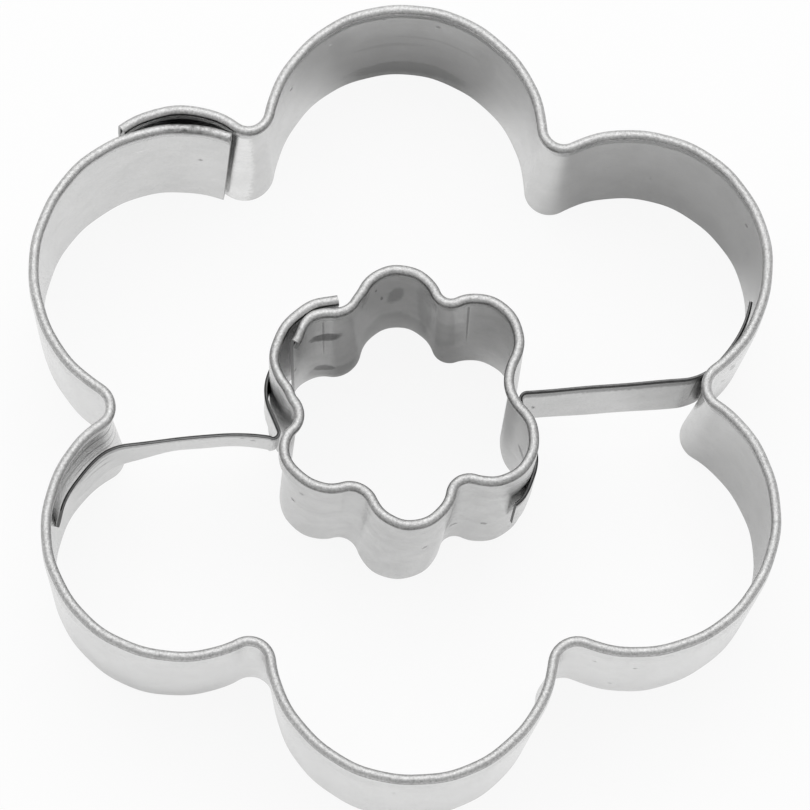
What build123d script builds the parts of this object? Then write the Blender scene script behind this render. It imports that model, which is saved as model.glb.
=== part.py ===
from build123d import *
import math
import os
from collections import namedtuple

# Sheet stock and the folded safety edge that both bands share
sheet_thickness = 0.35
hem_width = 0.9
hem_height = 2.5
touch_clearance = 0.03

# Outer band: six petals, numbered from the far one and anticlockwise
outer_height = 18.5
outer_petal_reach = 26.0
outer_petal_share = 0.5154
outer_petal_radius = outer_petal_reach * outer_petal_share
outer_indent_radius = 3.0
outer_overhang = 1.25
outer_reach_shares = (1.02, 1.00, 1.04, 1.00, 1.00, 1.02)
outer_radius_shares = (0.99, 1.06, 0.94, 1.01, 1.01, 0.97)
outer_turn_shares = (-0.01, 0.00, 0.02, 0.00, 0.00, 0.00)
outer_indent_shares = (1.0, 1.0, 1.0, 1.05, 1.05, 0.95)

# Lap of the outer band, outside the second petal
outer_lap_share = 0.7836
outer_lap_radius = outer_petal_radius * outer_lap_share
outer_lap_start_degrees = -84
outer_lap_end_degrees = -38
outer_inner_end_degrees = -80

# Inner band: the same strip, wound the other way and a little taller
inner_height = 20.2
inner_petal_reach = 9.25
inner_petal_share = 0.4703
inner_petal_radius = inner_petal_reach * inner_petal_share
inner_indent_radius = 3.3
inner_overhang = 0.34
inner_shift_x = -0.3
inner_shift_y = -0.95
inner_turn_degrees = -0.5
inner_twist_degrees = 3.5
inner_reach_shares = (1.00, 0.92, 1.00, 1.00, 1.03, 1.00)
inner_radius_shares = (0.97, 0.93, 1.00, 1.00, 1.07, 1.05)
inner_turn_shares = (0.000, 0.005, 0.045, -0.015, -0.020, 0.100)
inner_indent_shares = (0.75, 0.60, 0.65, 0.50, 1.30, 0.45)

# Lap of the inner band: a tight turn round its second petal, then a flatter end
inner_lap_turn_share = 1.1034
inner_lap_turn_radius = inner_petal_radius * inner_lap_turn_share
inner_lap_flat_share = 2.115
inner_lap_flat_radius = inner_petal_radius * inner_lap_flat_share
inner_lap_gap = 1.45
inner_lap_end_gap = 1.9
inner_lap_change_degrees = 24
inner_lap_end_degrees = -73
inner_inner_end_degrees = -3

# Crossbars: two plain strips set half a turn apart, each leaning as it crosses
bar_width = 6.5
bar_top_depth = 5.5
bar_outer_end_degrees = -44
bar_tab_gap = 0.9
bar_ease_radius = 5.7
bar_ease_degrees = -82
bar_ease_lean_degrees = 8.5
bar_corner_radius = 0.5
bar_corner_reach_share = 1.186
bar_corner_degrees = 185.65
bar_corner_lean_degrees = 3.25
bar_bow_radius_share = 1.35
bar_bow_rise_share = 0.04
bar_bow_place_share = 0.7
left_bar_end_degrees = 155
right_bar_end_degrees = -66
upright_share = 0.5

# Counts and fixed turns of the flower
petal_count = 6
petal_pitch_degrees = 360 / petal_count
first_petal_degrees = 90
lap_petal = 1

Circle = namedtuple("Circle", "x y radius turn axis")


def polar(x, y, radius, degrees):
    """A point at a radius and an angle from a centre."""
    angle = math.radians(degrees)
    return (x + radius * math.cos(angle), y + radius * math.sin(angle))


def petal_circles(reach, radius, reach_shares, radius_shares, turn_shares, twist, shift, turn):
    """The six petal circles of one level, each with the direction that it points in."""
    circles = []
    for index in range(petal_count):
        axis = first_petal_degrees + petal_pitch_degrees * (index + turn_shares[index]) + twist
        x, y = polar(shift[0], shift[1], reach * reach_shares[index], axis)
        circles.append(Circle(x, y, radius * radius_shares[index], turn, axis))
    return circles


def grown(circle, amount):
    """The same circle with a larger radius."""
    return circle._replace(radius=circle.radius + amount)


def started(petal, degrees):
    """The petal that a strip begins on, with the angle where it begins kept as its axis."""
    return petal._replace(axis=petal.axis + degrees)


def indent_circle(first, second, radius):
    """The small circle that touches two petals from outside, on the side away from the flower."""
    gap_x = second.x - first.x
    gap_y = second.y - first.y
    gap = math.hypot(gap_x, gap_y)
    reach_first = first.radius + radius
    reach_second = second.radius + radius
    along = (reach_first**2 - reach_second**2 + gap**2) / (2 * gap)
    aside = math.sqrt(reach_first**2 - along**2)
    middle_x = first.x + gap_x * along / gap
    middle_y = first.y + gap_y * along / gap
    choices = [
        (middle_x - side * gap_y * aside / gap, middle_y + side * gap_x * aside / gap)
        for side in (1, -1)
    ]
    x, y = max(choices, key=lambda point: math.hypot(point[0], point[1]))
    return Circle(x, y, radius, -first.turn, 0)


def circle_through(petal, start, end, start_off, end_off, radius):
    """The circle of a given radius that stands off a petal by set amounts at two angles."""
    start_x, start_y = polar(petal.x, petal.y, petal.radius + start_off, petal.axis + start)
    end_x, end_y = polar(petal.x, petal.y, petal.radius + end_off, petal.axis + end)
    half_x = (end_x - start_x) / 2
    half_y = (end_y - start_y) / 2
    half = math.hypot(half_x, half_y)
    back = math.sqrt(radius**2 - half**2) / half
    choices = [
        (start_x + half_x - side * half_y * back, start_y + half_y + side * half_x * back)
        for side in (1, -1)
    ]
    x, y = min(choices, key=lambda point: math.hypot(point[0] - petal.x, point[1] - petal.y))
    end_bearing = math.degrees(math.atan2(end_y - y, end_x - x))
    return Circle(x, y, radius, petal.turn, end_bearing)


def heading_between(first, second):
    """Heading of the straight run that leaves one circle and joins the next."""
    gap = math.hypot(second.x - first.x, second.y - first.y)
    lift = (second.turn * second.radius - first.turn * first.radius) / gap
    bearing = math.atan2(second.y - first.y, second.x - first.x)
    return bearing - math.asin(max(-1, min(1, lift)))


def point_at(circle, heading, left):
    """The point where a run round a circle has a heading, moved to its left."""
    radius = circle.radius - circle.turn * left
    x = circle.x + circle.turn * radius * math.sin(heading)
    y = circle.y - circle.turn * radius * math.cos(heading)
    return (x, y)


def arc_headings(circles):
    """Each circle with the heading where its arc starts and the angle that the arc turns."""
    headings = [math.radians(circles[0].axis + 90 * circles[0].turn)]
    for first, second in zip(circles, circles[1:]):
        headings.append(heading_between(first, second))
    headings.append(math.radians(circles[-1].axis + 90 * circles[-1].turn))
    return [
        (circle, start, circle.turn * ((circle.turn * (end - start)) % math.tau))
        for circle, start, end in zip(circles, headings, headings[1:])
    ]


def run_edges(circles, left, z):
    """Arcs and straight runs round a list of circles, moved left and laid at a height."""
    edges = []
    last = None
    for circle, start, turned in arc_headings(circles):
        points = [point_at(circle, start + turned * part, left) + (z,) for part in (0, 0.5, 1)]
        if last and math.dist(last, points[0]) > touch_clearance:
            edges.append(Edge.make_line(last, points[0]))
        elif last:
            points[0] = last
        edges.append(Edge.make_three_point_arc(*points))
        last = points[-1]
    return edges


def strip_face(circles, left_low, left_high, z):
    """The thin flat face that a strip shows on edge at one height."""
    near = run_edges(circles, left_low, z)
    far = run_edges(circles, left_high, z)
    end_cap = Edge.make_line(near[-1] @ 1, far[-1] @ 1)
    start_cap = Edge.make_line(far[0] @ 0, near[0] @ 0)
    back = [edge.reversed() for edge in reversed(far)]
    return Face(Wire(near + [end_cap] + back + [start_cap]))


def hem_profile():
    """Section of the folded edge: the wall, the round fold and the leaf turned down inside."""
    fold = hem_width / 2
    throat = fold - sheet_thickness
    leaf = hem_width - sheet_thickness
    with BuildSketch(Plane.XY) as section:
        with BuildLine():
            Line((0, -hem_height), (0, -fold))
            ThreePointArc((0, -fold), (-fold, 0), (-hem_width, -fold))
            Line((-hem_width, -fold), (-hem_width, -hem_height))
            Line((-hem_width, -hem_height), (-leaf, -hem_height))
            Line((-leaf, -hem_height), (-leaf, -fold))
            ThreePointArc((-leaf, -fold), (-fold, throat - fold), (-sheet_thickness, -fold))
            Line((-sheet_thickness, -fold), (-sheet_thickness, -hem_height))
            Line((-sheet_thickness, -hem_height), (0, -hem_height))
        make_face()
    return section.sketch.face()


def hem_pieces(circles, height):
    """The hem's section turned about each circle of the rim in its turn."""
    section = hem_profile()
    pieces = []
    for circle, start, turned in arc_headings(circles):
        x, y = point_at(circle, start, 0)
        inward = circles[0].turn
        outward = Vector(math.sin(start) * inward, -math.cos(start) * inward, 0)
        plane = Plane(origin=(x, y, height), x_dir=outward, z_dir=outward.cross(Vector(0, 0, 1)))
        axis = Axis((circle.x, circle.y, 0), (0, 0, circle.turn))
        pieces.append(revolve(plane * section, axis=axis, revolution_arc=math.degrees(abs(turned))))
    return pieces


def hemmed_band(low, high, height):
    """One strip stood on edge: a wall between two outlines with its hem folded inwards."""
    sides = sorted((0, low[0].turn * sheet_thickness))
    foot = strip_face(low, sides[0], sides[1], 0)
    head = strip_face(high, sides[0], sides[1], height - hem_height)
    wall = Solid.make_loft([foot.outer_wire(), head.outer_wire()], ruled=True)
    return wall.fuse(*hem_pieces(high, height))


def outer_petals(level):
    """The outer band's petal circles at its foot, 0, at its hem, 1, or between."""
    petals = petal_circles(
        outer_petal_reach, outer_petal_radius, outer_reach_shares, outer_radius_shares,
        outer_turn_shares, 0, (0, 0), 1,
    )
    return [grown(petal, outer_overhang * level) for petal in petals]


def outer_circles(level):
    """Circles that the outer band runs round, anticlockwise, from its inner end to its lap."""
    petals = outer_petals(level)
    step = sheet_thickness + (hem_width - sheet_thickness) * level + touch_clearance
    lap = circle_through(
        petals[lap_petal], outer_lap_start_degrees, outer_lap_end_degrees, step, step, outer_lap_radius,
    )
    order = [(lap_petal + index) % petal_count for index in range(petal_count)]
    circles = [started(petals[lap_petal], outer_inner_end_degrees)]
    for index, following in zip(order, order[1:]):
        radius = outer_indent_radius * outer_indent_shares[index] - outer_overhang * level
        circles += [indent_circle(petals[index], petals[following], radius), petals[following]]
    radius = outer_indent_radius * outer_indent_shares[0] - outer_overhang * level
    return circles + [indent_circle(petals[0], lap, radius), lap]


def inner_petals(level):
    """The inner band's petal circles at its foot, 0, at its hem, 1, or between."""
    petals = petal_circles(
        inner_petal_reach, inner_petal_radius, inner_reach_shares, inner_radius_shares,
        inner_turn_shares, inner_turn_degrees + inner_twist_degrees * level,
        (inner_shift_x, inner_shift_y), -1,
    )
    return [grown(petal, inner_overhang * level) for petal in petals]


def inner_lap(level):
    """The two circles of the inner band's lap: tight round the petal's side, then flatter."""
    petal = inner_petals(level)[lap_petal]
    flat = circle_through(
        petal, inner_lap_change_degrees, inner_lap_end_degrees,
        inner_lap_gap, inner_lap_end_gap, inner_lap_flat_radius,
    )
    corner = polar(
        petal.x, petal.y, petal.radius + inner_lap_gap, petal.axis + inner_lap_change_degrees,
    )
    share = inner_lap_turn_radius / inner_lap_flat_radius
    x = corner[0] + (flat.x - corner[0]) * share
    y = corner[1] + (flat.y - corner[1]) * share
    return [flat._replace(x=x, y=y, radius=inner_lap_turn_radius), flat]


def inner_circles(level):
    """Circles that the inner band runs round, clockwise, from its inner end to its lap."""
    petals = inner_petals(level)
    lap = inner_lap(level)
    order = [(lap_petal - index) % petal_count for index in range(petal_count)]
    circles = [started(petals[lap_petal], inner_inner_end_degrees)]
    for index, following in zip(order, order[1:]):
        radius = inner_indent_radius * inner_indent_shares[following] - inner_overhang * level
        circles += [indent_circle(petals[index], petals[following], radius), petals[following]]
    radius = inner_indent_radius * inner_indent_shares[lap_petal] - inner_overhang * level
    return circles + [indent_circle(petals[order[-1]], lap[0], radius)] + lap


def bow_circle(first, last):
    """A wide circle that lifts the middle of a straight run a little to its left."""
    heading = heading_between(first, last)
    start = point_at(first, heading, 0)
    end = point_at(last, heading, 0)
    length = math.dist(start, end)
    radius = length * bar_bow_radius_share
    drop = radius - length * bar_bow_rise_share
    x = start[0] + (end[0] - start[0]) * bar_bow_place_share + drop * math.sin(heading)
    y = start[1] + (end[1] - start[1]) * bar_bow_place_share - drop * math.cos(heading)
    return Circle(x, y, radius, -1, 0)


def bar_circles(z, outer_petal, half_turn, seats, bowed, end_degrees):
    """Circles that a crossbar's left face runs round at one height, from outer tab to inner tab."""
    rise = (z - bar_foot) / bar_width
    lean = rise - upright_share
    wall = outer_petals(z / (outer_height - hem_height))[outer_petal]
    tab = wall._replace(
        radius=wall.radius - sheet_thickness - touch_clearance - bar_tab_gap * rise,
        turn=-1,
        axis=wall.axis + bar_outer_end_degrees,
    )
    ease_x, ease_y = polar(
        tab.x, tab.y, tab.radius - bar_ease_radius,
        wall.axis + bar_ease_degrees + bar_ease_lean_degrees * lean,
    )
    ease = Circle(ease_x, ease_y, bar_ease_radius, -1, 0)
    corner_reach = inner_petal_reach * bar_corner_reach_share + inner_lap_gap
    corner_x, corner_y = polar(
        inner_shift_x, inner_shift_y, corner_reach + sheet_thickness + touch_clearance + bar_corner_radius,
        bar_corner_degrees + bar_corner_lean_degrees * lean + half_turn,
    )
    corner = Circle(corner_x, corner_y, bar_corner_radius, 1, 0)
    bow = [bow_circle(ease, corner)] if bowed else []
    level = z / (inner_height - hem_height)
    off = touch_clearance + sheet_thickness
    inner = [
        Circle(*(low + (high - low) * level for low, high in zip(foot, head)))
        for foot, head in zip(seats(0), seats(1))
    ]
    inner = [grown(circle, off) for circle in inner]
    inner[-1] = inner[-1]._replace(axis=end_degrees)
    return [tab, ease] + bow + [corner] + inner


def crossbar(name, *shape):
    """A plain strip stood on edge between two runs, one at its foot and one at its head."""
    faces = [
        strip_face(bar_circles(z, *shape), -sheet_thickness, 0, z)
        for z in (bar_foot, bar_foot + bar_width)
    ]
    bar = Solid.make_loft([face.outer_wire() for face in faces], ruled=True)
    bar.label = name
    return bar


bar_foot = outer_height - bar_top_depth - bar_width

outer_band = hemmed_band(outer_circles(0), outer_circles(1), outer_height)
outer_band.label = "outer_band"
inner_band = hemmed_band(inner_circles(0), inner_circles(1), inner_height)
inner_band.label = "inner_band"
left_crossbar = crossbar("left_crossbar", 2, 0, inner_lap, True, left_bar_end_degrees)
right_crossbar = crossbar(
    "right_crossbar", 5, 180, lambda level: [inner_petals(level)[4]], False, right_bar_end_degrees,
)

nodes = [outer_band, inner_band, left_crossbar, right_crossbar]
box = outer_band.bounding_box()
middle = Location((-box.center().X, -box.center().Y, 0))

os.makedirs("parts", exist_ok=True)
for node in nodes:
    export_step(middle * node, f"parts/{node.label}.step")
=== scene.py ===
import math
from collections import namedtuple

import bpy
import numpy as np
from mathutils import Matrix, Vector


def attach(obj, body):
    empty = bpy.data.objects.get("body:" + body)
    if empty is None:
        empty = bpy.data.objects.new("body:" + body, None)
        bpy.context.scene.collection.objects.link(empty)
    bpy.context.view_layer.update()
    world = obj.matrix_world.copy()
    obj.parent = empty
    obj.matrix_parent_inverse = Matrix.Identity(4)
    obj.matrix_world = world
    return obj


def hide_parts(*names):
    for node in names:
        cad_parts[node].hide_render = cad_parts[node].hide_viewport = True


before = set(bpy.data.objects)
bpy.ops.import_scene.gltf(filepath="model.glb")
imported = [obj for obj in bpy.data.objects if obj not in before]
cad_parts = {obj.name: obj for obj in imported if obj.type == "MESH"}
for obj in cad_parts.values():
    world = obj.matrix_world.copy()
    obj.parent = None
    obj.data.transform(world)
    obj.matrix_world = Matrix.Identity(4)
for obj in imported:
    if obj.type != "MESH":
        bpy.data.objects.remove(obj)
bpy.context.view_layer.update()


# The camera stands where the photograph's did: high over the table, in front of the flower
# and a little to its left, with a long lens. Its values come from fitting the rims and feet.
picture_width_pixels = 810
lens_pixels = 10757.08
sensor_width = 36
camera_turn = 0.144
camera_elevation = math.radians(73.5)
camera_roll = 0.130405
camera_distance = 1.1
camera_aim = (0.00083, 0.00379, 0)


def look_from(turn, elevation, roll, distance, aim):
    """The camera's place: its back direction from a turn and an elevation, then a roll about it."""
    back = Vector((
        -math.sin(turn) * math.cos(elevation),
        -math.cos(turn) * math.cos(elevation),
        math.sin(elevation),
    ))
    side = Vector((math.cos(turn), -math.sin(turn), 0))
    over = back.cross(side)
    right = side * math.cos(roll) + over * math.sin(roll)
    place = Matrix((right, back.cross(right), back)).transposed().to_4x4()
    place.translation = Vector(aim) + back * distance
    return place


camera = bpy.data.objects.new("camera", bpy.data.cameras.new("camera"))
camera.data.sensor_width = sensor_width
camera.data.lens = sensor_width * lens_pixels / picture_width_pixels
camera.data.clip_start = 0.1
camera.data.clip_end = 20
camera.matrix_world = look_from(
    turn=camera_turn,
    elevation=camera_elevation,
    roll=camera_roll,
    distance=camera_distance,
    aim=camera_aim,
)
bpy.context.scene.collection.objects.link(camera)
bpy.context.scene.camera = camera
bpy.context.scene.view_settings.view_transform = "Standard"


# The table and the light: a plain white sheet of card under one large soft panel and an even
# pale sky. The bent tinplate mirrors the card, and what the metal alone sees of it is lifted to a
# clear white ground outside the flower, with patches of painted shade inside it and one patch of
# painted light.
class Wire:
    """A socket that takes part in Python expressions; each operation adds its Math node."""

    def __init__(self, tree, socket):
        self.tree = tree
        self.socket = socket

    def node(self, kind, output=0, settings=(), **inputs):
        """A node of any type: its settings first, then the values or links of its sockets.

        A socket goes by its name, with low lines for spaces, or by _0, _1 and so on, its place.
        """
        made = self.tree.nodes.new(kind)
        for name, value in settings:
            setattr(made, name, value)
        for name, value in inputs.items():
            key = int(name[1:]) if name[0] == "_" else name.replace("_", " ")
            if isinstance(value, Wire):
                self.tree.links.new(value.socket, made.inputs[key])
            else:
                made.inputs[key].default_value = value
        return Wire(self.tree, made.outputs[output])

    def beside(self, output):
        """Another output of the node that this socket belongs to."""
        return Wire(self.tree, self.socket.node.outputs[output])

    def maths(self, operation, *values):
        """A Math node on numbers or sockets, in the order given."""
        places = {f"_{place}": value for place, value in enumerate(values)}
        return self.node("ShaderNodeMath", settings=[("operation", operation)], **places)

    def __add__(self, other):
        return self.maths("ADD", self, other)

    __radd__ = __add__

    def __mul__(self, other):
        return self.maths("MULTIPLY", self, other)

    __rmul__ = __mul__

    def __sub__(self, other):
        return self.maths("SUBTRACT", self, other)

    def __rsub__(self, other):
        return self.maths("SUBTRACT", other, self)

    def __pow__(self, other):
        return self.maths("POWER", self, other)

    def step(self, low, high):
        """0 below one value, 1 above the other, and a smooth ramp between them."""
        smooth = [("interpolation_type", "SMOOTHSTEP")]
        return self.node("ShaderNodeMapRange", settings=smooth, Value=self, From_Min=low, From_Max=high)


def new_material(name):
    """An empty material, a wire that adds nodes to its tree, and its shader."""
    material = bpy.data.materials.new(name)
    material.use_nodes = True
    tree = material.node_tree
    return material, Wire(tree, None), tree.nodes["Principled BSDF"]


def feed(wire, shader, name):
    """Links what changes over the surface to one of the shader's sockets."""
    wire.tree.links.new(wire.socket, shader.inputs[name])


def mesh_object(name, points, faces, loops_uv=None, finishes=(), material_of_face=None):
    """A mesh object at the origin from whole arrays of points and quads, with UVs in centimetres."""
    crease_angle = math.radians(38)
    mesh = bpy.data.meshes.new(name)
    mesh.vertices.add(len(points))
    mesh.vertices.foreach_set("co", np.asarray(points, np.float32).ravel())
    mesh.loops.add(faces.size)
    mesh.loops.foreach_set("vertex_index", faces.ravel().astype(np.int32))
    mesh.polygons.add(len(faces))
    mesh.polygons.foreach_set("loop_start", np.arange(0, faces.size, 4, dtype=np.int32))
    mesh.polygons.foreach_set("loop_total", np.full(len(faces), 4, np.int32))
    if material_of_face is not None:
        mesh.polygons.foreach_set("material_index", material_of_face.astype(np.int32))
    mesh.update(calc_edges=True)
    if loops_uv is not None:
        layer = mesh.uv_layers.new(name="strip")
        layer.data.foreach_set("uv", np.asarray(loops_uv, np.float32).ravel())
    mesh.validate()
    mesh.shade_smooth()
    mesh.set_sharp_from_angle(angle=crease_angle)
    for finish in finishes:
        mesh.materials.append(finish)
    made = bpy.data.objects.new(name, mesh)
    bpy.context.scene.collection.objects.link(made)
    return made


def table_grid(half, count):
    """A flat square grid of points at the height of the cutting edges, and its quads."""
    side = np.linspace(-half, half, count)
    x, y = np.meshgrid(side, side)
    points = np.stack([x.ravel(), y.ravel(), np.zeros(x.size)], 1)
    index = np.arange(count * count).reshape(count, count)
    corners = [index[:-1, :-1], index[:-1, 1:], index[1:, 1:], index[1:, :-1]]
    return points, np.stack(corners, -1).reshape(-1, 4)


def distance(x, y):
    """How far a point is from the origin: the root of x squared plus y squared."""
    return (x * x + y * y) ** 0.5


def beyond_petals(across, back):
    """1 outside the flower's outline on the table and 0 inside it.

    The angle round the origin is folded into one sixth of a turn, where a single circle is a
    petal; a second circle round the origin is the hub that the petals stand on.
    """
    petal_middle = 0.0262
    petal_low, petal_high = 0.0136, 0.0156
    hub_low, hub_high = 0.024, 0.028
    sixths = back.maths("ARCTAN2", back, across) * (3 / math.pi)
    wedge = (sixths.maths("FRACT", sixths + 6) - 0.5) * (math.pi / 3)
    radius = distance(across, back)
    reach_x = radius * wedge.maths("COSINE", wedge) - petal_middle
    reach_y = radius * wedge.maths("SINE", wedge)
    return distance(reach_x, reach_y).step(petal_low, petal_high) * radius.step(hub_low, hub_high)


# A round patch of painted shade on the mirrored card: its middle, where it starts to fade, where
# it ends, and how dark it is, with a patch of painted light below nought
Patch = namedtuple("Patch", "x y near far depth")
painted_shade_and_light_patches = (
    Patch(0.002, 0.038, 0.004, 0.012, 1.0),
    Patch(0.027, 0.023, 0.007, 0.016, 0.85),
    Patch(0.038, -0.008, 0.008, 0.018, 0.6),
    Patch(0.001, 0.003, 0.006, 0.0125, 0.82),
    Patch(-0.027, -0.032, 0.006, 0.016, 0.3),
    Patch(-0.025, 0.011, 0.006, 0.017, -0.17),
)
card_colour = (0.86, 0.86, 0.86, 1)
card_roughness = 0.9
card_gloss = 0.1
card_seen_white = 0.9  # to the camera, and the rest as it is lit, which keeps the shadow
mirrored_inside = 0.85
mirrored_outside = 1.0

card, wire, shader = new_material("white_card")
shader.inputs["Base Color"].default_value = card_colour
shader.inputs["Roughness"].default_value = card_roughness
shader.inputs["Specular IOR Level"].default_value = card_gloss
across = wire.node("ShaderNodeSeparateXYZ", Vector=wire.node("ShaderNodeTexCoord", output="Object"))
back = across.beside("Y")
outside = beyond_petals(across, back)
inside = mirrored_inside
for patch in painted_shade_and_light_patches:
    away = distance(across - patch.x, back - patch.y)
    inside = inside * (1 - patch.depth * (1 - away.step(patch.near, patch.far)))
glare = inside + (mirrored_outside - inside) * outside
seen = wire.node("ShaderNodeLightPath", output="Is Camera Ray")
mirrored = seen.beside("Is Glossy Ray")
white = wire.node("ShaderNodeEmission", Strength=1.0)
plain = Wire(wire.tree, shader.outputs["BSDF"])
lifting = seen * card_seen_white + mirrored * glare
lifted = wire.node("ShaderNodeMixShader", Fac=lifting, _1=plain, _2=white)
wire.tree.links.new(lifted.socket, wire.tree.nodes["Material Output"].inputs["Surface"])
table = mesh_object("table", *table_grid(half=1.5, count=5), finishes=[card])


def soft_panel(name, place, aim, width, height, power):
    """A rectangular lamp that stands at a place and faces a point of the object."""
    lamp = bpy.data.lights.new(name, "AREA")
    lamp.shape = "RECTANGLE"
    lamp.size = width
    lamp.size_y = height
    lamp.energy = power
    made = bpy.data.objects.new(name, lamp)
    made.location = place
    made.rotation_mode = "QUATERNION"
    made.rotation_quaternion = (Vector(aim) - Vector(place)).to_track_quat("-Z", "Y")
    bpy.context.scene.collection.objects.link(made)


soft_panel("key_panel", place=(-0.05, 0.42, 0.8), aim=(0, 0, 0), width=1.1, height=1.1, power=7.0)

# The sky brightens a little from the horizon up, and is plain white to the camera
horizon_glow = 0.4
zenith_glow = 0.5
zenith_height = 0.6
world = bpy.data.worlds.new("studio")
bpy.context.scene.world = world
world.use_nodes = True
background = world.node_tree.nodes["Background"]
background.inputs["Color"].default_value = (1, 1, 1, 1)
sky = Wire(world.node_tree, None)
facing = sky.node("ShaderNodeTexCoord", output="Generated")
upward = sky.node("ShaderNodeSeparateXYZ", output="Z", Vector=facing)
seen = sky.node("ShaderNodeLightPath", output="Is Camera Ray")
glow = horizon_glow + upward.step(0.0, zenith_height) * (zenith_glow - horizon_glow)
feed(glow * (1 - seen) + seen, background, "Strength")


# The outer band: one long strip of tinplate bent round six petals and spot-welded where its
# ends lap on the upper-left petal. Its top edge is folded inwards as a hem, so it is safe to
# press. Lengths are in millimetres, and marks on the strip in centimetres.
millimetre = 0.001
sheet = 0.35
hem_width = 0.9
hem_height = 2.5
bead_width = 1.04
touch = 0.03  # left between two strips where the real ones are welded
middle_of_part = (0.335, -0.1253)
anticlockwise = 1
Circle = namedtuple("Circle", "x y radius turn axis")


def polar(x, y, radius, degrees):
    """A point at a radius and an angle from a centre."""
    angle = math.radians(degrees)
    return (x + radius * math.cos(angle), y + radius * math.sin(angle))


def petal_circles(reach, radius, reach_shares, radius_shares, turn_shares, twist, middle, turn):
    """The six petal circles of one level, each with the direction that it points in.

    They stand on a ring round the middle, a sixth of a turn apart, the first at the far side,
    and each petal's shares make it reach further, swell or turn a little more or less.
    """
    circles = []
    for index in range(6):
        axis = 90 + 60 * (index + turn_shares[index]) + twist
        x, y = polar(middle[0], middle[1], reach * reach_shares[index], axis)
        circles.append(Circle(x, y, radius * radius_shares[index], turn, axis))
    return circles


def grown(circle, amount):
    """The same circle with its radius larger by an amount."""
    return circle._replace(radius=circle.radius + amount)


def indent_circle(first, second, radius):
    """The small circle that touches two petals from outside, on the side away from the flower.

    Its centre is where circles of the petals' radii plus its own would cross.
    """
    gap_x = second.x - first.x
    gap_y = second.y - first.y
    gap = math.hypot(gap_x, gap_y)
    near = first.radius + radius
    along = (near**2 - (second.radius + radius) ** 2 + gap**2) / (2 * gap)
    aside = math.sqrt(near**2 - along**2)
    choices = [
        (
            first.x + gap_x * along / gap - side * gap_y * aside / gap,
            first.y + gap_y * along / gap + side * gap_x * aside / gap,
        )
        for side in (1, -1)
    ]
    x, y = max(choices, key=lambda point: math.hypot(point[0], point[1]))
    return Circle(x, y, radius, -first.turn, 0)


def circle_through(petal, start, end, start_off, end_off, radius):
    """The circle of a given radius that stands off a petal by set amounts at two angles.

    Its centre is on the line that halves the two points' chord, at the end nearer the petal.
    """
    start_x, start_y = polar(petal.x, petal.y, petal.radius + start_off, petal.axis + start)
    end_x, end_y = polar(petal.x, petal.y, petal.radius + end_off, petal.axis + end)
    half_x = (end_x - start_x) / 2
    half_y = (end_y - start_y) / 2
    half = math.hypot(half_x, half_y)
    back = math.sqrt(radius**2 - half**2) / half
    choices = [
        (start_x + half_x - side * half_y * back, start_y + half_y + side * half_x * back)
        for side in (1, -1)
    ]
    x, y = min(choices, key=lambda point: math.hypot(point[0] - petal.x, point[1] - petal.y))
    return Circle(x, y, radius, petal.turn, math.degrees(math.atan2(end_y - y, end_x - x)))


def heading_between(first, second):
    """Heading of the straight run that leaves one circle and joins the next."""
    gap = math.hypot(second.x - first.x, second.y - first.y)
    lift = (second.turn * second.radius - first.turn * first.radius) / gap
    return math.atan2(second.y - first.y, second.x - first.x) - math.asin(max(-1, min(1, lift)))


def run_along(circles, per_arc, per_straight):
    """Stations round a list of circles: their points and their left normals, in millimetres.

    An arc's station at heading h is its centre plus turn times radius times (sin h, -cos h); the
    straight between two arcs is the line from the last station of one to the first of the next.
    """
    headings = [math.radians(circles[0].axis + 90 * circles[0].turn)]
    headings += [heading_between(a, b) for a, b in zip(circles, circles[1:])]
    headings.append(math.radians(circles[-1].axis + 90 * circles[-1].turn))
    points, normals = [], []
    for circle, start, end, count in zip(circles, headings, headings[1:], per_arc):
        turned = circle.turn * ((circle.turn * (end - start)) % math.tau)
        h = start + turned * np.linspace(0, 1, count)
        arc_x = circle.x + circle.turn * circle.radius * np.sin(h)
        arc_y = circle.y - circle.turn * circle.radius * np.cos(h)
        arc = np.stack([arc_x, arc_y], 1)
        if points:
            share = np.linspace(0, 1, per_straight + 2)[1:-1, None]
            aside = np.array([[-math.sin(start), math.cos(start)]])
            points.append(points[-1][-1] * (1 - share) + arc[0] * share)
            normals.append(np.repeat(aside, per_straight, 0))
        points.append(arc)
        normals.append(np.stack([-np.sin(h), np.cos(h)], 1))
    return np.concatenate(points), np.concatenate(normals)


def ramp(value, low, high):
    """0 below one value, 1 above the other, and a smooth ramp between them."""
    share = np.clip((value - low) / (high - low), 0, 1)
    return share * share * (3 - 2 * share)


def paired_section(front, back, front_high, back_high):
    """A strip's section from its two faces, given point by point: a closed loop up one face and
    back down the other, with the two points at each end of it belonging to the cut edges.

    It gives how far in and how high each point is, which material its face has, and how far up
    the front it is."""
    count = len(front)
    inward = np.concatenate([front, back[::-1]])
    high = np.concatenate([front_high, back_high[::-1]])
    length = np.concatenate([[0], np.cumsum(np.hypot(np.diff(front), np.diff(front_high)))])
    kind = np.zeros(2 * count)
    kind[[0, count - 2, count - 1, count, 2 * count - 2, 2 * count - 1]] = 1
    return inward, high, kind, length


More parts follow.
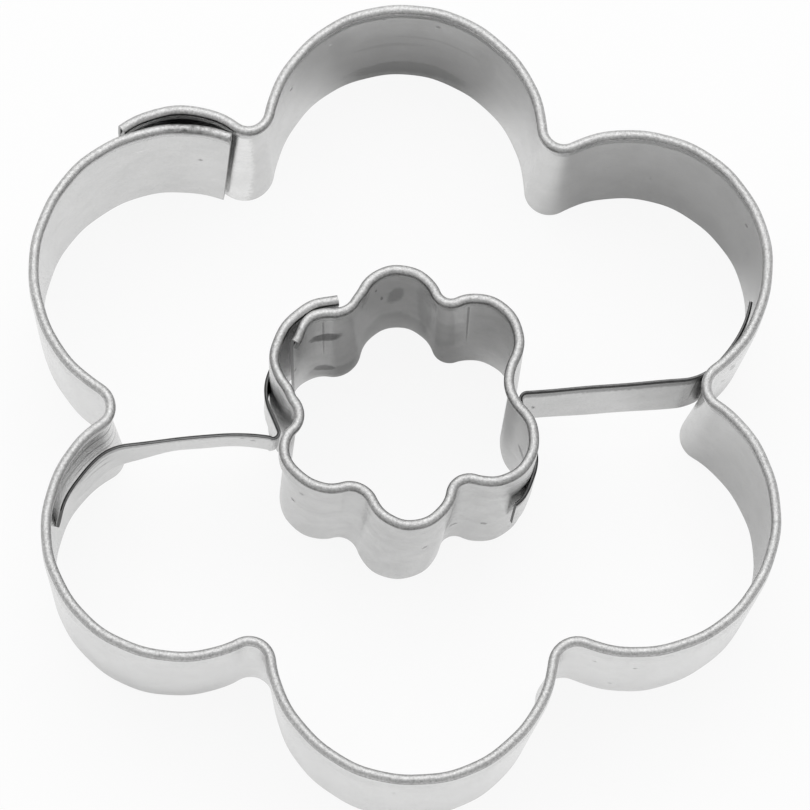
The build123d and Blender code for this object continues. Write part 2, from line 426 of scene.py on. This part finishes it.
def hem_section(height, bead):
    """The hemmed strip's section: up the wall, round the fold, and down the folded leaf. The wall
    rises at nought, the fold is a half circle, and the leaf leans back towards the wall."""
    eased = 0.05
    leaf_gap = 0.06
    fold = bead / 2
    inside = fold - sheet
    top = height - fold
    free = height - hem_height
    rise = np.linspace(eased, top, 24)
    turn = np.linspace(0, math.pi, 17)[1:-1]
    drop = np.linspace(0, 1, 12)
    lean = (bead - leaf_gap - 2 * sheet) * ramp(drop, 0, 1)
    leaf = top + (free + eased - top) * drop
    front = np.concatenate([
        [eased], 0 * rise, fold - fold * np.cos(turn), bead - lean, [leaf_gap + 2 * sheet - eased],
    ])
    front_high = np.concatenate([[0], rise, top + fold * np.sin(turn), leaf, [free]])
    back = np.concatenate([
        [sheet - eased], 0 * rise + sheet, fold - inside * np.cos(turn),
        bead - sheet - lean, [leaf_gap + sheet + eased],
    ])
    back_high = np.concatenate([[0], rise, top + inside * np.sin(turn), leaf, [free]])
    return paired_section(front, back, front_high, back_high)


def swept(name, foot, head, section, share, side, wave, finishes, sag=None):
    """A section carried along a run: the point at a station and a place of the section is the mix
    of the foot's and the head's points, each moved along its own left normal. Side is 1 where
    the second face and the fold lie to the left of the run, and -1 where they lie to the right.
    The wave moves the sheet to the left, and the sag lowers it.

    The UV is the flat strip: u is the way along its head, v the way up the front of its section
    and back down the other face. A cap of quads closes each end."""
    foot_points, foot_normals = foot
    head_points, head_normals = head
    inward, high, kind, length = section
    count, around = len(foot_points), len(inward)
    k = share[None, :, None]
    step = np.linalg.norm(np.diff(head_points, axis=0), axis=1)
    along = np.concatenate([[0], np.cumsum(step)])
    off = (side * inward)[None, :] + wave(along[:, None], high[None, :])
    low = foot_points[:, None] + foot_normals[:, None] * off[..., None]
    top = head_points[:, None] + head_normals[:, None] * off[..., None]
    plan = low * (1 - k) + top * k + np.array(middle_of_part)
    z = np.broadcast_to(high[None, :], (count, around))
    if sag:
        z = z - sag(along[:, None], share[None, :])
    points = np.concatenate([plan, z[..., None]], 2).reshape(-1, 3) * millimetre

    index = np.arange(count * around).reshape(count, around)
    following = np.roll(index, -1, axis=1)
    quads = np.stack([index[:-1], following[:-1], following[1:], index[1:]], -1).reshape(-1, 4)
    across = np.concatenate([length, 2 * length[-1] + sheet - length[::-1]])
    across_next = np.append(across[1:], across[-1] + sheet)
    u = np.repeat(along[:, None], around, 1)
    v, v_next = np.broadcast_to(across, u.shape), np.broadcast_to(across_next, u.shape)
    corners = [(u[:-1], v[:-1]), (u[:-1], v_next[:-1]), (u[1:], v_next[1:]), (u[1:], v[1:])]
    uv = np.stack([np.stack(corner, -1) for corner in corners], 2).reshape(-1, 4, 2)
    kinds = np.broadcast_to(kind, (count - 1, around)).reshape(-1)

    half = around // 2
    cap_corners = np.array([[0, 0], [0, sheet], [0, sheet], [0, 0]])
    for ids, end in ((index[0], 1), (index[-1], -1)):
        up, down = ids[:half], ids[::-1][:half]
        cap = np.stack([up[:-1], down[:-1], down[1:], up[1:]], -1)[:, ::end]
        quads = np.concatenate([quads, cap])
        uv = np.concatenate([uv, np.stack([length[:-1], 0 * length[:-1]], -1)[:, None] + cap_corners])
        kinds = np.append(kinds, np.ones(half - 1))
    if side < 0:
        quads = quads[:, ::-1]
        uv = uv[:, ::-1]
    return mesh_object(name, points, quads, uv.reshape(-1, 2) / 10, finishes, kinds)


# How much each sign of wear, and the painted shade and painted light on the fold, changes the
# tin's tone, its roughness and its height in the bump
cloud_tone, cloud_rough, cloud_height = 0.14, 0.10, 0.6
grain_tone, grain_height = 0.08, 0.3
smear_rough, smear_height = 0.16, 0.5
pit_tone, pit_rough, pit_height = 0.3, 0.2, 0.6
scratch_tone, scratch_height = 0.12, 0.3
grit_tone, rim_grit_tone, rim_grit_height = 0.14, 0.6, 0.5
fine_height = 0.12
# Painted shade along both edges of the fold, where the hem shades the wall and the leaf
rim_painted_shade = 0.26
tin_rough, crown_rough = 0.2, 0.38
mark_raggedness = 0.5
tin_bump, tin_bump_depth = 0.25, 0.0002


def tinplate(name, fold_at, tin, smears, crown_painted_light, marks):
    """Bright tin-coated steel: a soft mirror with a fine grain along the strip and small marks.

    Tone, roughness and height are sums of noises less a half, each times its amount. The rim is
    the band of v that the fold takes up, in millimetres from where it starts, and its edges are
    darkened as painted shade; the crown is its middle, rougher as if worn, and its tone is shifted
    as painted light, lighter as a painted highlight where the amount is below nought. A mark is an
    ellipse on the strip with a ragged outline.
    """
    material, wire, shader = new_material(name)
    shader.inputs["Metallic"].default_value = 1
    place = wire.node("ShaderNodeUVMap", settings=[("uv_map", "strip")])
    solid = wire.node("ShaderNodeTexCoord", output="Object")

    def mapped(**inputs):
        return wire.node("ShaderNodeMapping", Vector=place, **inputs)

    def noise(vector, **inputs):
        return wire.node("ShaderNodeTexNoise", Vector=vector, **inputs)

    grain = noise(mapped(Scale=(3.0, 60.0, 1.0)), Scale=4.0, Detail=5.0)
    smear = noise(mapped(Scale=(3.0, 4.0, 1.0)), Scale=1.0, Detail=7.0, Roughness=0.6)
    line = noise(mapped(Rotation=(0, 0, 0.5), Scale=(1.2, 22.0, 1.0)), Scale=1.6, Detail=2.0)
    scratch = line.step(0.70, 0.73) * smear.step(0.45, 0.6)
    cloud = noise(solid, Scale=160.0, Detail=4.0)
    fine = noise(solid, Scale=2600.0, Detail=3.0)
    grit = noise(solid, Scale=4200.0, Detail=3.0, Roughness=0.7)
    spots = wire.node("ShaderNodeTexVoronoi", Vector=solid, Scale=260.0)
    pit = (1 - spots.step(0.05, 0.12)) * noise(solid, Scale=330.0).step(0.55, 0.62)
    past_fold = wire.node("ShaderNodeSeparateXYZ", output="Y", Vector=place) * 10 - fold_at
    crown = past_fold.step(0.12, 0.36) * (1 - past_fold.step(1.25, 1.55))
    rim = past_fold.step(-0.1, 0.0) * (1 - past_fold.step(1.75, 1.95))

    tone = tin + (cloud - 0.5) * cloud_tone + (grain - 0.5) * grain_tone + (smear - 0.5) * smears
    tone = tone - pit * pit_tone + scratch * scratch_tone
    # The fold's edges darkened as painted shade, and its crown's tone shifted as painted light
    tone = tone - (rim - crown) * rim_painted_shade - crown * crown_painted_light
    tone = tone + (grit - 0.5) * (grit_tone + rim * rim_grit_tone)
    rough = tin_rough + (cloud - 0.5) * cloud_rough + (smear - 0.5) * smear_rough
    rough = rough + pit * pit_rough + crown * crown_rough
    height = (cloud - 0.5) * cloud_height + (smear - 0.5) * smear_height
    height = height + (grain - 0.5) * grain_height + (fine - 0.5) * fine_height
    height = height + rim * (grit - 0.5) * rim_grit_height
    height = height - pit * pit_height - scratch * scratch_height
    for mark in marks:
        at = wire.node(
            "ShaderNodeMapping",
            settings=[("vector_type", "TEXTURE")],
            Vector=place,
            Location=(mark.along, mark.across, 0),
            Rotation=(0, 0, mark.turn),
            Scale=(mark.long, mark.wide, 1),
        )
        length = [("operation", "LENGTH")]
        middle = wire.node("ShaderNodeVectorMath", settings=length, output="Value", _0=at)
        inside = 1 - (middle + (fine - 0.5) * mark_raggedness).step(0.6, 1.0)
        tone = tone * (1 - inside * mark.dark)
        height = height - inside * mark.deep
    feed(wire.node("ShaderNodeCombineColor", _0=tone, _1=tone, _2=tone * 0.995), shader, "Base Color")
    feed(rough, shader, "Roughness")
    bump = wire.node("ShaderNodeBump", Height=height, Strength=tin_bump, Distance=tin_bump_depth)
    feed(bump, shader, "Normal")
    return material


def sheared_edge(name, steel):
    """The sheet's cut edge: grey steel that the shear has torn into fine grains."""
    edge_rough = 0.45
    torn_tone = 0.12
    torn_bump, torn_bump_depth = 0.3, 0.00005
    material, wire, shader = new_material(name)
    shader.inputs["Metallic"].default_value = 1
    shader.inputs["Roughness"].default_value = edge_rough
    solid = wire.node("ShaderNodeTexCoord", output="Object")
    torn = wire.node("ShaderNodeTexNoise", Vector=solid, Scale=1800.0, Detail=4.0)
    tone = steel + (torn - 0.5) * torn_tone
    feed(wire.node("ShaderNodeCombineColor", _0=tone, _1=tone, _2=tone), shader, "Base Color")
    bump = wire.node("ShaderNodeBump", Height=torn, Strength=torn_bump, Distance=torn_bump_depth)
    feed(bump, shader, "Normal")
    return material


outer_height = 18.5
outer_flare = 1.25
outer_petal_reach = 26.0
outer_petal_radius = 13.4
outer_reach_shares = (1.02, 1.00, 1.04, 1.00, 1.00, 1.02)
outer_radius_shares = (0.99, 1.06, 0.94, 1.01, 1.01, 0.97)
outer_turn_shares = (-0.01, 0.00, 0.02, 0.00, 0.00, 0.00)
outer_indent_shares = (1.0, 1.0, 1.0, 1.05, 1.05, 0.95)
outer_indent_foot = 2.3
outer_indent_head = 3.0
outer_inner_end = -80
outer_lap_start = -84
outer_lap_end = -38
outer_lap_radius = 10.5
outer_lap_indent_foot = 0.5


def outer_petals(level):
    """The large flower's petal circles, which widen from the cutting edge to the hem."""
    petals = petal_circles(
        reach=outer_petal_reach,
        radius=outer_petal_radius,
        reach_shares=outer_reach_shares,
        radius_shares=outer_radius_shares,
        turn_shares=outer_turn_shares,
        twist=0,
        middle=(0, 0),
        turn=anticlockwise,
    )
    return [grown(petal, outer_flare * level) for petal in petals]


def outer_circles(level):
    """Circles that the outer band runs round, anticlockwise, from its inner end to its lap."""
    petals = outer_petals(level)
    step = sheet + (hem_width - sheet) * level + touch
    lap = circle_through(petals[1], outer_lap_start, outer_lap_end, step, step, outer_lap_radius)
    radii = [
        (1 - level) * outer_indent_foot * share + level * (outer_indent_head * share - outer_flare)
        for share in outer_indent_shares
    ]
    order = [1, 2, 3, 4, 5, 0]
    circles = [petals[1]._replace(axis=petals[1].axis + outer_inner_end)]
    for index, following in zip(order, order[1:]):
        indent = indent_circle(petals[index], petals[following], radii[index])
        circles += [indent, petals[following]]
    lap_radius = radii[0] + outer_lap_indent_foot * (1 - level)
    return circles + [indent_circle(petals[0], lap, lap_radius), lap]


def outer_wave(along, high):
    """How far the hand-bent strip wanders inwards, in millimetres: three long sines, and a step
    outwards where the lap's thicker bead has to clear the end that it covers."""
    bent = 0.03 * np.sin(along * 0.55 + high * 0.1) + 0.02 * np.sin(along * 1.31 + 1.7)
    bent = bent - 0.02 * np.sin(along * 0.23 + high * 0.25)
    return bent - (bead_width - hem_width) * ramp(along, along[-1] - 15, along[-1] - 11)


def outer_sag(along, share):
    """How far the hem dips along the strip, in millimetres; the cutting edge stays level."""
    return share * (0.03 + 0.02 * np.sin(along * 0.31 + 0.6) + 0.01 * np.sin(along * 0.87))


# A mark on the flat strip: its middle and half lengths in centimetres, its turn, how far it
# darkens the tin, with a lighter mark below nought, and how deep it is
Mark = namedtuple("Mark", "along across long wide turn dark deep")
outer_marks = (
    # Painted shade in the gap behind the lap and under its hem, a pale line of painted light beside
    # it, and painted shade on the end that it covers
    Mark(28.02, 3.9, 0.49, 1.75, 0.0, 0.88, 0.0),
    Mark(28.05, 2.10, 0.45, 0.14, 0.0, 0.9, 0.0),
    Mark(27.34, 3.5, 0.12, 1.3, 0.0, -0.3, 0.0),
    Mark(0.45, 0.9, 0.55, 1.2, 0.0, 0.80, 0.0),
    # Nicks outside, near the right notch
    Mark(18.66, 1.42, 0.05, 0.24, 0.3, 0.5, 0.8),
    Mark(18.60, 1.05, 0.03, 0.16, 0.4, 0.35, 0.6),
    # Scratches inside the left petal, over the crossbar's tab
    Mark(5.0, 3.05, 0.5, 0.030, 0.05, 0.4, 0.5),
    Mark(5.1, 3.25, 0.6, 0.025, 0.03, 0.35, 0.5),
    Mark(4.9, 3.42, 0.5, 0.020, 0.04, 0.35, 0.5),
    # Pale specks inside the far petal
    Mark(25.863, 3.073, 0.02, 0.04, 0.3, -0.35, 0.8),
    Mark(25.91, 3.13, 0.015, 0.02, 0.0, -0.35, 0.8),
    Mark(26.139, 3.229, 0.018, 0.02, 0.0, -0.35, 0.8),
    Mark(26.17, 3.28, 0.012, 0.02, 0.0, -0.3, 0.8),
    # A darker patch low inside the far petal, painted shade under the hem inside the upper-right
    # one by the crossbar's tab, and faint rubbed lines inside the far petal
    Mark(24.95, 4.15, 0.80, 0.18, 0.0, 0.25, 0.1),
    Mark(19.30, 2.85, 0.75, 0.38, 0.0, 0.55, 0.1),
    Mark(25.2, 3.55, 0.5, 0.05, 0.02, 0.10, 0.1),
    Mark(24.6, 3.35, 0.6, 0.04, -0.02, 0.10, 0.1),
)
outer_tin = tinplate(
    "outer_band_tinplate",
    fold_at=outer_height - bead_width / 2,
    tin=0.6,
    smears=0.16,
    crown_painted_light=0.02,
    marks=outer_marks,
)
band_cut = sheared_edge("band_sheared_edge", steel=0.38)
outer_section = hem_section(outer_height, bead_width)
outer_stations = [70] + [18, 76] * 5 + [18, 36]
outer_band = swept(
    "outer_band_sheet",
    foot=run_along(outer_circles(0), outer_stations, per_straight=8),
    head=run_along(outer_circles(1), outer_stations, per_straight=8),
    section=outer_section,
    share=np.clip(outer_section[1] / (outer_height - hem_height), 0, 1),
    side=1,
    wave=outer_wave,
    sag=outer_sag,
    finishes=[outer_tin, band_cut],
)
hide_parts("outer_band")
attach(outer_band, "root")


# The inner band: the same hemmed strip, wound the other way round a small flower and a little
# taller. Its loose end swings out round the upper-left petal and leaves a dark gap behind it.
inner_height = 20.2
inner_flare = 0.34
inner_petal_reach = 9.25
inner_petal_radius = 4.35
inner_reach_shares = (1.00, 0.92, 1.00, 1.00, 1.03, 1.00)
inner_radius_shares = (0.97, 0.93, 1.00, 1.00, 1.07, 1.05)
inner_turn_shares = (0.000, 0.005, 0.045, -0.015, -0.020, 0.100)
inner_indent_shares = (0.75, 0.60, 0.65, 0.50, 1.30, 0.45)
inner_indent_radius = 3.3
inner_turned = -0.5
inner_twist = 3.5
inner_middle = (-0.3, -0.95)
inner_inner_end = -3
inner_lap_start = 24
inner_lap_end = -73
inner_lap_gap = 1.45
inner_lap_end_gap = 1.9
inner_lap_turn_radius = 4.8
inner_lap_flat_radius = 9.2
clockwise = -1


def inner_petals(level):
    """The small flower's petal circles, which widen and twist from cutting edge to hem."""
    petals = petal_circles(
        reach=inner_petal_reach,
        radius=inner_petal_radius,
        reach_shares=inner_reach_shares,
        radius_shares=inner_radius_shares,
        turn_shares=inner_turn_shares,
        twist=inner_turned + inner_twist * level,
        middle=inner_middle,
        turn=clockwise,
    )
    return [grown(petal, inner_flare * level) for petal in petals]


def inner_lap(level):
    """The two circles of the inner band's lap: tight round the petal's side, then flatter."""
    petal = inner_petals(level)[1]
    flat = circle_through(
        petal, inner_lap_start, inner_lap_end, inner_lap_gap, inner_lap_end_gap, inner_lap_flat_radius
    )
    corner = polar(petal.x, petal.y, petal.radius + inner_lap_gap, petal.axis + inner_lap_start)
    part = inner_lap_turn_radius / inner_lap_flat_radius
    x = corner[0] + (flat.x - corner[0]) * part
    y = corner[1] + (flat.y - corner[1]) * part
    return [flat._replace(x=x, y=y, radius=inner_lap_turn_radius), flat]


def inner_circles(level):
    """Circles that the inner band runs round, clockwise, from its inner end to its lap."""
    petals = inner_petals(level)
    lap = inner_lap(level)
    radii = [inner_indent_radius * share - inner_flare * level for share in inner_indent_shares]
    order = [1, 0, 5, 4, 3, 2]
    circles = [petals[1]._replace(axis=petals[1].axis + inner_inner_end)]
    for index, following in zip(order, order[1:]):
        indent = indent_circle(petals[index], petals[following], radii[following])
        circles += [indent, petals[following]]
    return circles + [indent_circle(petals[2], lap[0], radii[1])] + lap


def inner_wave(along, high):
    """How far the small strip wanders outwards, in millimetres: two sines, and a dent and three
    swellings that each rise and fall along the strip and grow towards the hem."""
    end = along[-1]
    level = high / inner_height
    bent = 0.02 * np.sin(along * 0.9 + high * 0.12 + 1) + 0.015 * np.sin(along * 2.1 + high * 0.2)
    petal = 1.1 * ramp(along, 0.3, 3.5) * (1 - ramp(along, 5.8, 9.8))
    shoulder = 0.6 * ramp(along, 73.5, 78) * (1 - ramp(along, 78, 81.5))
    waist = -1.0 * ramp(along, 79.5, 84) * (1 - ramp(along, 84, 89))
    lap = 1.0 * ramp(along, 86, 93) - 0.35 * ramp(along, 95, end)
    out = bent + (petal + waist) * level + shoulder * ramp(high, 12.5, 18)
    return out + lap * (0.35 + 0.65 * level)


def inner_sag(along, share):
    """How far the small hem dips along the strip, in millimetres."""
    return share * (0.03 + 0.02 * np.sin(along * 0.5 + 2.1) + 0.01 * np.sin(along * 1.3))


inner_marks = (
    # The two spot welds inside the upper-left petal, and the line pressed through them
    Mark(0.45, 3.50, 0.21, 0.13, -0.12, 0.78, 1.0),
    Mark(0.42, 3.28, 0.014, 0.85, 0.0, 0.40, 0.6),
    Mark(0.42, 4.42, 0.15, 0.10, 0.0, 0.55, 0.3),
    # Painted shade in the gap behind the lap, under its hem, and on the left indent below it
    Mark(9.50, 3.45, 0.80, 1.36, 0.0, 0.93, 0.0),
    Mark(9.55, 2.26, 0.75, 0.14, 0.0, 0.9, 0.0),
    Mark(8.40, 1.55, 0.40, 0.40, 0.0, 0.45, 0.0),
    # Painted shade on the bent side of the far petal with painted light on the bend beside it,
    # painted shade at the feet of the far and upper-left petals, and the darker end of the strip
    Mark(1.80, 3.60, 0.14, 1.1, 0.0, 0.25, 0.1),
    Mark(2.04, 3.50, 0.12, 0.8, 0.0, -0.12, 0.1),
    Mark(1.40, 4.45, 0.60, 0.34, 0.0, 0.25, 0.1),
    Mark(0.47, 4.52, 0.35, 0.16, 0.0, 0.25, 0.1),
    Mark(0.04, 2.1, 0.16, 2.6, 0.0, 0.25, 0.1),
    # The smudge and the specks inside the far petal, and painted shade below its hem
    Mark(1.43, 3.62, 0.11, 0.30, 0.2, 0.40, 0.2),
    Mark(1.267, 3.632, 0.022, 0.07, 0.0, 0.6, 0.6),
    Mark(1.20, 3.30, 0.016, 0.05, 0.0, 0.6, 0.6),
    Mark(1.45, 2.50, 0.45, 0.12, 0.0, 0.30, 0.2),
    # The crease inside the upper-right petal, and a smear beside it
    Mark(2.32, 3.25, 0.016, 1.0, 0.02, 0.50, 0.8),
    Mark(2.05, 3.9, 0.25, 0.5, 0.3, 0.18, 0.2),
    # A nick and a fine line inside the right petal
    Mark(3.99, 3.88, 0.13, 0.05, 0.9, 0.55, 0.5),
    Mark(3.62, 3.5, 0.018, 0.7, 0.0, 0.35, 0.4),
    # Pits outside the near petals
    Mark(7.362, 1.586, 0.035, 0.04, 0.4, 0.55, 0.6),
    Mark(5.319, 0.476, 0.05, 0.035, -0.5, 0.5, 0.6),
    Mark(5.017, 0.647, 0.05, 0.035, 0.6, 0.5, 0.6),
)
inner_tin = tinplate(
    "inner_band_tinplate",
    fold_at=inner_height - bead_width / 2,
    tin=0.48,
    smears=0.3,
    # Below nought the bead's middle is lightened, as a painted highlight
    crown_painted_light=-0.1,
    marks=inner_marks,
)
inner_section = hem_section(inner_height, bead_width)
inner_stations = [30] + [20, 44] * 5 + [20, 30, 30]
inner_band = swept(
    "inner_band_sheet",
    foot=run_along(inner_circles(0), inner_stations, per_straight=5),
    head=run_along(inner_circles(1), inner_stations, per_straight=5),
    section=inner_section,
    share=np.clip(inner_section[1] / (inner_height - hem_height), 0, 1),
    side=-1,
    wave=inner_wave,
    sag=inner_sag,
    finishes=[inner_tin, band_cut],
)
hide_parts("inner_band")
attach(inner_band, "root")


# The left crossbar: a plain strip of tinplate on edge, one of the two that carry the small
# flower inside the large one. It starts as a tab welded inside the left petal, bows a little
# and leans as it crosses, and ends in a tab round the small flower's lap.
bar_width = 6.5
bar_top_depth = 5.5
bar_foot = outer_height - bar_top_depth - bar_width
bar_ease_radius = 5.7
bar_corner_radius = 0.5
bar_tab_gap = 0.9
bar_heading = 185.65
bar_lean = 3.25
bar_ease_heading = -82
bar_ease_lean = 8.5
bow_radius_share = 1.35
bow_lift_share = 0.04
bow_middle_share = 0.7


def bow_circle(first, last):
    """A wide circle that lifts the middle of a straight run a little to its left."""
    heading = heading_between(first, last)
    leaves, joins = (
        (
            circle.x + circle.turn * circle.radius * math.sin(heading),
            circle.y - circle.turn * circle.radius * math.cos(heading),
        )
        for circle in (first, last)
    )
    length = math.dist(leaves, joins)
    drop = length * (bow_radius_share - bow_lift_share)
    x = leaves[0] + (joins[0] - leaves[0]) * bow_middle_share + drop * math.sin(heading)
    y = leaves[1] + (joins[1] - leaves[1]) * bow_middle_share - drop * math.cos(heading)
    return Circle(x, y, length * bow_radius_share, clockwise, 0)


def between(first, second, level):
    """The circle a share of the way from one circle to another, in every value."""
    return Circle(*(a + (b - a) * level for a, b in zip(first, second)))


def bar_circles(rise, outer_petal, half_turn, reach, seats, bowed, start_degrees, end_degrees):
    """Circles that a crossbar's left face runs round at one height, from outer tab to inner tab.

    The outer tab lies inside a petal of the large flower, an ease and a small corner bend the
    bar away from both tabs, and the inner tab follows the seats, circles of the small flower.
    """
    z = bar_foot + bar_width * rise
    lean = rise - 0.5
    wall = outer_petals(z / (outer_height - hem_height))[outer_petal]
    tab_radius = wall.radius - sheet - touch - bar_tab_gap * rise
    tab = wall._replace(radius=tab_radius, turn=clockwise, axis=wall.axis + start_degrees)
    ease_heading = wall.axis + bar_ease_heading + bar_ease_lean * lean
    ease_x, ease_y = polar(tab.x, tab.y, tab.radius - bar_ease_radius, ease_heading)
    ease = Circle(ease_x, ease_y, bar_ease_radius, clockwise, 0)
    corner_heading = bar_heading + bar_lean * lean + half_turn
    corner_x, corner_y = polar(inner_middle[0], inner_middle[1], reach, corner_heading)
    corner = Circle(corner_x, corner_y, bar_corner_radius, anticlockwise, 0)
    level = z / (inner_height - hem_height)
    inner = [between(low, high, level) for low, high in zip(seats(0), seats(1))]
    inner = [grown(circle, touch + sheet) for circle in inner]
    inner[-1] = inner[-1]._replace(axis=end_degrees)
    return [tab, ease] + ([bow_circle(ease, corner)] if bowed else []) + [corner] + inner


def strip_section(low, width, burr):
    """A flat strip's section: its two faces, with eased corners and a rolled-over top edge."""
    eased = 0.06
    face = np.linspace(0, 1, 14)
    front = np.concatenate([[eased], 0 * face, [burr]])
    back = np.concatenate([[sheet - eased], 0 * face + sheet, [sheet - eased]])
    front_high = low + np.concatenate([[0], eased + (width - eased - burr) * face, [width]])
    back_high = low + np.concatenate([[0], eased + (width - 2 * eased) * face, [width]])
    return paired_section(front, back, front_high, back_high)


def bar_wander(along, high):
    """How far a bar's sheet wanders to its left, in millimetres: one shallow sine."""
    return 0.02 * np.sin(along * 0.8 + high * 0.5)


def lower_share(high):
    """1 at a bar's lower edge and 0 at its upper one."""
    return 1 - (high - bar_foot) / bar_width


def left_bar_wave(along, high):
    """The left bar's outer tab: its lower edge stands further off the wall than its upper edge."""
    tab = ramp(along, 0.5, 4.5) * (1 - ramp(along, 9, 16))
    return bar_wander(along, high) - (0.7 * lower_share(high) + 0.2) * tab


# Painted shade in a band along the bar's rolled-over top edge, on both of its faces
bar_edge_painted_shade = Mark(2.5, 0.676, 60.0, 0.15, 0.0, 0.55, 0.0)
left_bar_marks = (
    bar_edge_painted_shade,
    # Two nicks near the middle, two scratches on the outer tab, and the shaded inner tab
    Mark(2.212, 0.838, 0.025, 0.03, 0.0, 0.55, 0.6),
    Mark(2.33, 0.934, 0.04, 0.03, 0.4, 0.6, 0.6),
    Mark(0.55, 0.85, 0.30, 0.025, 0.1, 0.35, 0.5),
    Mark(0.62, 1.0, 0.22, 0.02, 0.2, 0.35, 0.5),
    Mark(3.10, 1.00, 0.45, 0.60, 0.0, 0.93, 0.0),
)
past_the_strip = 90  # a bar has no fold, so its rim would start beyond its last millimetre
bar_finish = dict(fold_at=past_the_strip, tin=0.54, smears=0.2, crown_painted_light=0)
# The bars' cut edges are far darker than the bands': partly bare steel, partly painted shade that
# thickens the dark line along each bar's top edge
bar_cut_and_painted_shade = sheared_edge("bar_sheared_edge_and_painted_shade", steel=0.13)
bar_section = strip_section(bar_foot, bar_width, burr=0.16)
bar_share = (bar_section[1] - bar_foot) / bar_width
left_tin = tinplate("left_crossbar_tinplate", marks=left_bar_marks, **bar_finish)
left_stations = [30, 14, 24, 10, 24, 30]
left_shape = dict(
    outer_petal=2,
    half_turn=0,
    reach=13.3,
    seats=inner_lap,
    bowed=True,
    start_degrees=-47,
    end_degrees=155,
)
left_crossbar = swept(
    "left_crossbar_strip",
    foot=run_along(bar_circles(0, **left_shape), left_stations, per_straight=24),
    head=run_along(bar_circles(1, **left_shape), left_stations, per_straight=24),
    section=bar_section,
    share=bar_share,
    side=-1,
    wave=left_bar_wave,
    finishes=[left_tin, bar_cut_and_painted_shade],
)
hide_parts("left_crossbar")
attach(left_crossbar, "root")


# The right crossbar: the same strip of tinplate, set half a turn round. It starts as a tab
# welded inside the right petal, crosses straight with the opposite lean, and ends in a tab
# welded outside the small flower's lower-right petal, where its tip springs off a little.
def right_bar_seat(level):
    """The one petal of the small flower that the right bar's inner tab lies on."""
    return [inner_petals(level)[4]]


def right_bar_wave(along, high):
    """The right bar leans inwards at its outer tab and springs off the flower at its inner one."""
    lean = 0.45 * lower_share(high) * (1 - ramp(along, 5, 9))
    return bar_wander(along, high) - lean + 0.5 * ramp(along, along[-1] - 3.5, along[-1])


right_bar_marks = (
    bar_edge_painted_shade,
    # A fine upright line across the bar, and the shaded outer tab
    Mark(1.03, 0.40, 0.012, 0.3, 0.0, 0.4, 0.6),
    Mark(0.30, 1.02, 0.80, 0.55, 0.0, 0.75, 0.2),
)
right_tin = tinplate("right_crossbar_tinplate", marks=right_bar_marks, **bar_finish)
right_stations = [30, 14, 10, 34]
right_shape = dict(
    outer_petal=5,
    half_turn=180,
    reach=12.75,
    seats=right_bar_seat,
    bowed=False,
    start_degrees=-41.5,
    end_degrees=-59,
)
right_crossbar = swept(
    "right_crossbar_strip",
    foot=run_along(bar_circles(0, **right_shape), right_stations, per_straight=24),
    head=run_along(bar_circles(1, **right_shape), right_stations, per_straight=24),
    section=bar_section,
    share=bar_share,
    side=-1,
    wave=right_bar_wave,
    finishes=[right_tin, bar_cut_and_painted_shade],
)
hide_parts("right_crossbar")
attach(right_crossbar, "root")
